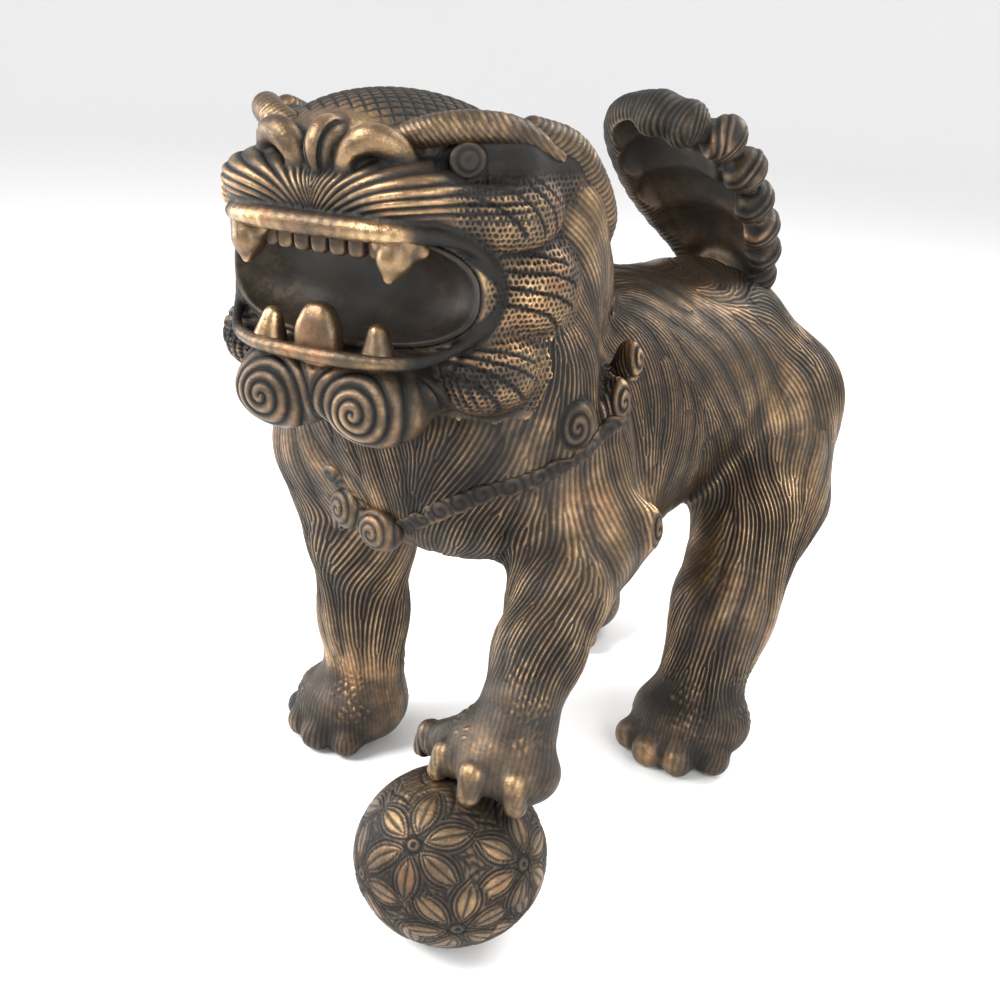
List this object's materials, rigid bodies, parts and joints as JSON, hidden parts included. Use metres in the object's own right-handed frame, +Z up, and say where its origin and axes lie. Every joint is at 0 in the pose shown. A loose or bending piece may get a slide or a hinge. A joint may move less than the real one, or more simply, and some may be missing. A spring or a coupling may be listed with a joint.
{
  "type": "foo dog statue",
  "caption": "Cast bronze guardian lion standing with its front left paw on a ball, mouth open, plume tail raised.",
  "frame": {"origin": "middle of the figure's outer box, on the ground that the soles stand on", "axes": "+Z up, the lion faces -Y, +X is the lion's left side"},
  "size_m": [0.1544, 0.263, 0.2254],
  "materials": {
    "bronze_body": "dark brown patina, chased hair lines rubbed to a warmer brown",
    "bronze_head": "brown patina rubbed to golden bronze on the high points",
    "bronze_teeth": "rubbed golden bronze",
    "bronze_mouth": "smooth grey-brown patina with fine scratches",
    "bronze_eyes": "dark satin patina",
    "bronze_ball": "brown patina with rubbed golden patches",
    "bronze_plug": "dark dull patina",
    "pin_steel": "dull turned steel",
    "nut_brass": "dull brass"
  },
  "bodies": {
    "root": {"torso_casting": "bronze_body", "mane_casting": "bronze_body", "skull_casting": "bronze_head", "lower_jaw": "bronze_head", "mouth_plate": "bronze_mouth", "upper_fangs": "bronze_teeth", "upper_incisors": "bronze_teeth", "lower_teeth": "bronze_teeth", "left_eye": "bronze_eyes", "right_eye": "bronze_eyes", "left_brow": "bronze_head", "right_brow": "bronze_head", "left_ear": "bronze_head", "right_ear": "bronze_head", "head_spigot_pins": "pin_steel", "jaw_dowels": "pin_steel", "front_left_leg": "bronze_body", "front_right_leg": "bronze_body", "rear_left_leg": "bronze_body", "rear_right_leg": "bronze_body", "leg_spigot_pins": "pin_steel", "brocade_ball": "bronze_ball", "ball_rivet": "pin_steel", "tail_plume": "bronze_body", "tail_stud": "pin_steel", "tail_nut": "nut_brass", "neck_stud": "pin_steel", "neck_nut": "nut_brass", "neck_dowels": "pin_steel", "collar_band": "bronze_body", "collar_bell": "bronze_head", "belly_core_plug": "bronze_plug"}
  },
  "joints": []
}
